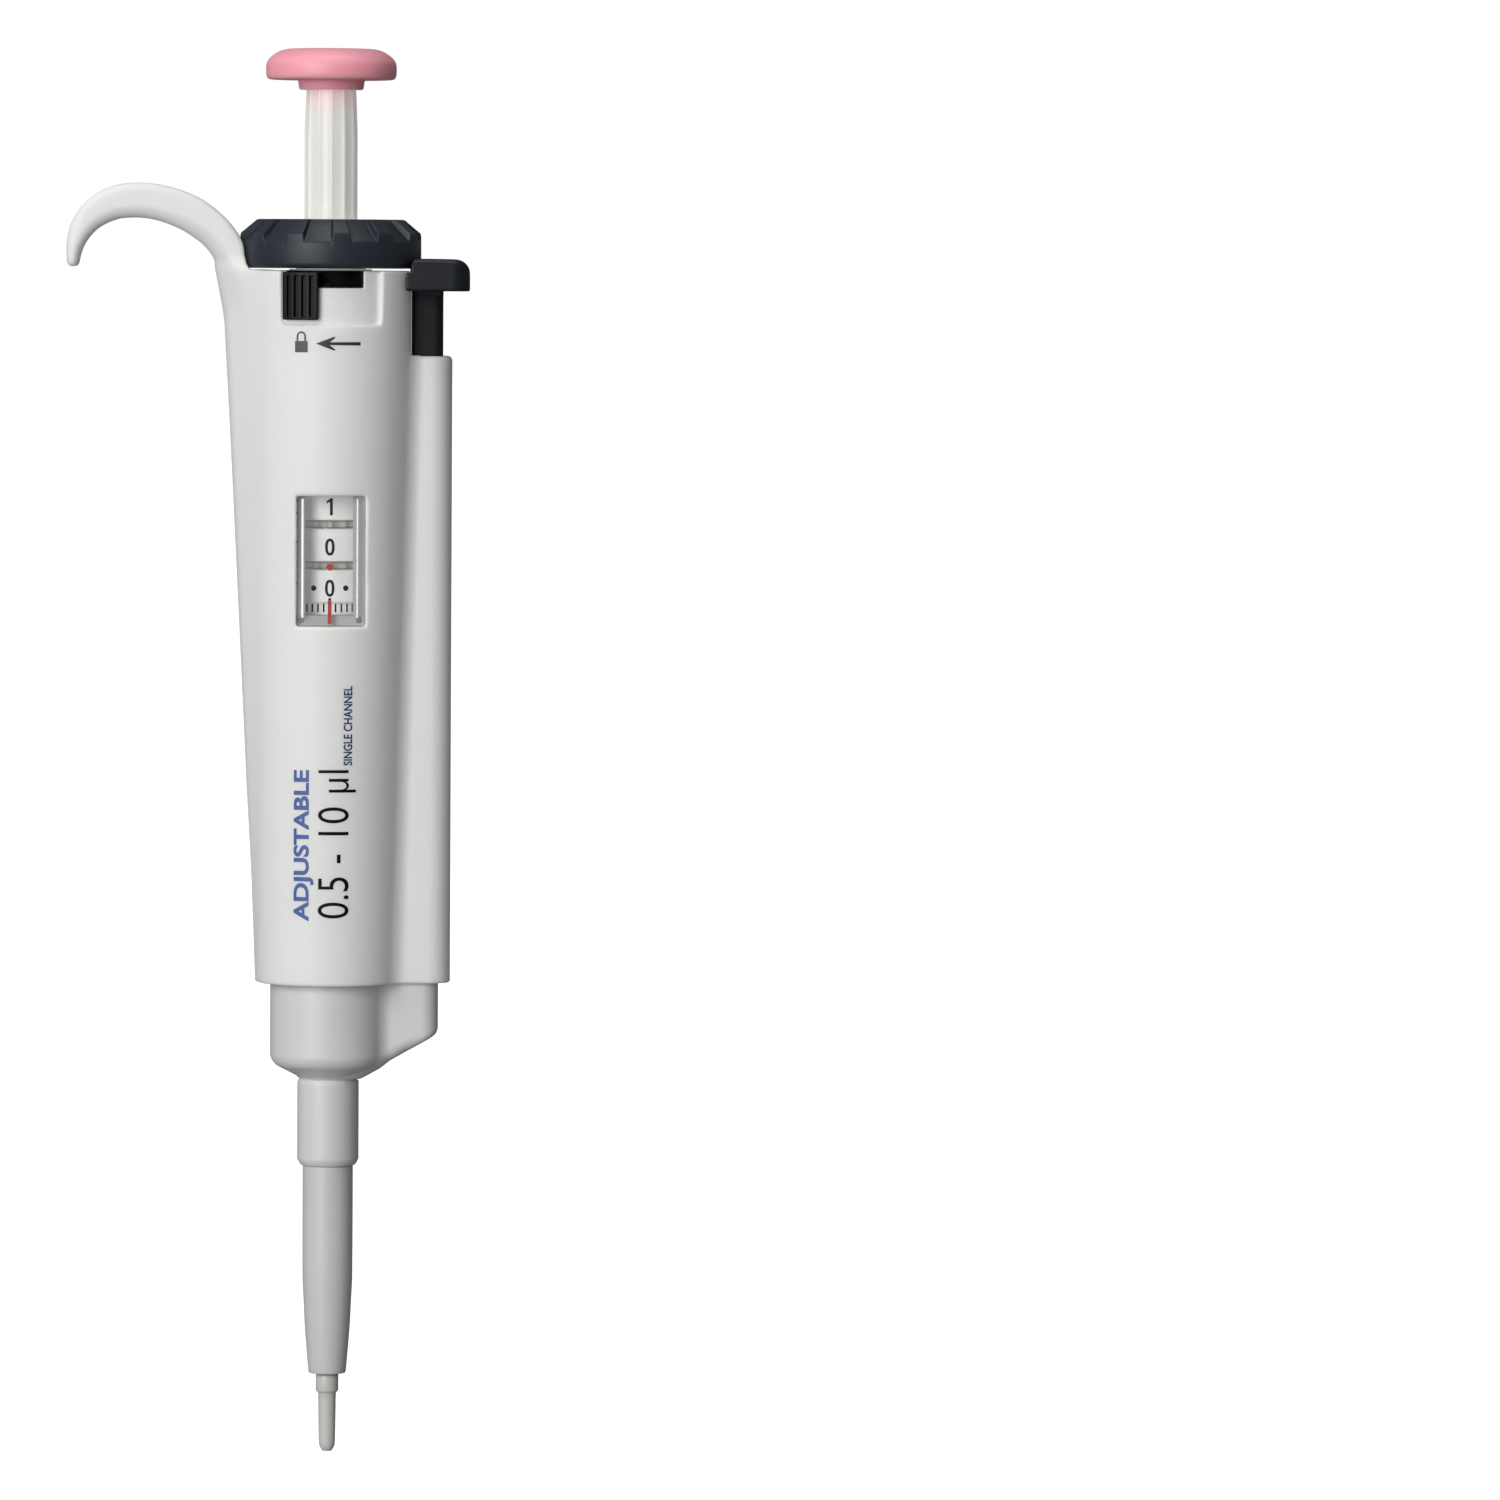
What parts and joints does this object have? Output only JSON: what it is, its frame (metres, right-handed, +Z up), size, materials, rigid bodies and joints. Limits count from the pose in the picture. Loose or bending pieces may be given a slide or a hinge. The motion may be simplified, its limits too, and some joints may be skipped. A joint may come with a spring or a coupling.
{
  "type": "adjustable micropipette",
  "caption": "Adjustable single-channel air-displacement micropipette with finger hook, volume dial, number display, lock lever, plunger and side tip ejector.",
  "frame": {"origin": "centre of the nozzle's lower end, on the axis that the piston, drums, dial and plunger share", "axes": "+Z up along that axis towards the push button, -Y out of the display, -X towards the finger hook and +X towards the tip ejector"},
  "size_m": [0.0716, 0.0322, 0.2503],
  "materials": {
    "shell": "satin white moulding",
    "window": "clear",
    "white_part": "white, fine satin",
    "rod_white": "white, slightly translucent",
    "grey_part": "grey, matte",
    "dial_dark": "dark slate, satin",
    "lever_black": "black, matte",
    "button_pink": "pink, satin",
    "ejector_grey": "pale grey, satin",
    "nozzle_grey": "grey, satin",
    "steel": "turned",
    "spring_steel": "drawn wire",
    "brass": "turned",
    "rubber": "matte",
    "seal_white": "waxy"
  },
  "bodies": {
    "handle": {"handle_body": "shell", "inner_frame": "grey_part", "display_window": "window", "counter_bezel": "grey_part", "bezel_screws": "steel", "dial_bush": "white_part", "carry_axle": "steel", "brake_shoe": "rubber", "cylinder_housing": "nozzle_grey", "cylinder_nut": "grey_part", "nozzle": "nozzle_grey", "piston_seal": "seal_white", "seal_ring": "rubber", "seal_retainer": "white_part", "return_spring": "spring_steel", "blowout_spring": "spring_steel", "ejector_spring": "spring_steel", "ejector_spring_seat": "grey_part"},
    "dial": {"volume_dial": "dial_dark", "spline_sleeve": "white_part", "brake_ring": "grey_part", "drive_tube": "steel", "units_drum": "white_part", "setting_screw": "brass"},
    "plunger": {"push_button": "button_pink", "plunger_rod": "rod_white", "spindle": "steel", "piston_head": "white_part", "piston": "steel"},
    "tens": {"tens_drum": "white_part"},
    "hundreds": {"hundreds_drum": "white_part"},
    "lower_pinion": {"carry_pinion_lower": "grey_part"},
    "upper_pinion": {"carry_pinion_upper": "grey_part"},
    "nut": {"setting_nut": "brass"},
    "blowout": {"blowout_disc": "steel"},
    "lock": {"lock_lever": "lever_black"},
    "ejector": {"ejector_button": "dial_dark", "ejector_bar": "dial_dark", "ejector_shaft": "steel", "ejector_cup": "ejector_grey", "ejector_sleeve": "ejector_grey"}
  },
  "joints": [
    {"name": "dial_turn", "type": "hinge", "parent": "handle", "child": "dial", "pos_m": [0, 0, 0.2155], "axis": [0, 0, 1], "range_deg": [-3420, 0]},
    {"name": "plunger_press", "type": "slide", "parent": "dial", "child": "plunger", "axis": [0, 0, -1], "range_m": [0, 0.0167], "stiffness_N_per_m": 200, "springref_m": -0.012, "deforming": ["return_spring"]},
    {"name": "lock_turn", "type": "hinge", "parent": "handle", "child": "lock", "pos_m": [0, 0, 0.2065], "axis": [0, 0, 1], "range_deg": [0, 30]},
    {"name": "ejector_press", "type": "slide", "parent": "handle", "child": "ejector", "axis": [0, 0, -1], "range_m": [0, 0.009], "stiffness_N_per_m": 300, "springref_m": -0.008, "deforming": ["ejector_spring"]},
    {"name": "tens_turn", "type": "hinge", "parent": "handle", "child": "tens", "pos_m": [0, 0, 0.162], "axis": [0, 0, 1], "range_deg": [-342, 0]},
    {"name": "hundreds_turn", "type": "hinge", "parent": "handle", "child": "hundreds", "pos_m": [0, 0, 0.1695], "axis": [0, 0, 1], "range_deg": [-34.2, 0]},
    {"name": "lower_pinion_turn", "type": "hinge", "parent": "handle", "child": "lower_pinion", "pos_m": [-0.0105, 0, 0.1586], "axis": [0, 0, 1], "range_deg": [0, 855]},
    {"name": "upper_pinion_turn", "type": "hinge", "parent": "handle", "child": "upper_pinion", "pos_m": [-0.0105, 0, 0.1659], "axis": [0, 0, 1], "range_deg": [0, 85.5]},
    {"name": "nut_travel", "type": "slide", "parent": "handle", "child": "nut", "axis": [0, 0, 1], "range_m": [0, 0.01206]},
    {"name": "blowout_travel", "type": "slide", "parent": "handle", "child": "blowout", "axis": [0, 0, -1], "range_m": [0, 0.004], "deforming": ["blowout_spring"]}
  ],
  "couplings": [
    {"joint": "tens_turn", "follows": "dial_turn", "ratio": 0.1},
    {"joint": "hundreds_turn", "follows": "dial_turn", "ratio": 0.01},
    {"joint": "lower_pinion_turn", "follows": "dial_turn", "ratio": -0.25},
    {"joint": "upper_pinion_turn", "follows": "dial_turn", "ratio": -0.025},
    {"joint": "nut_travel", "follows": "dial_turn", "m_per_rad": -0.00020213},
    {"joint": "blowout_travel", "follows": "plunger_press", "ratio": 0.23952}
  ]
}
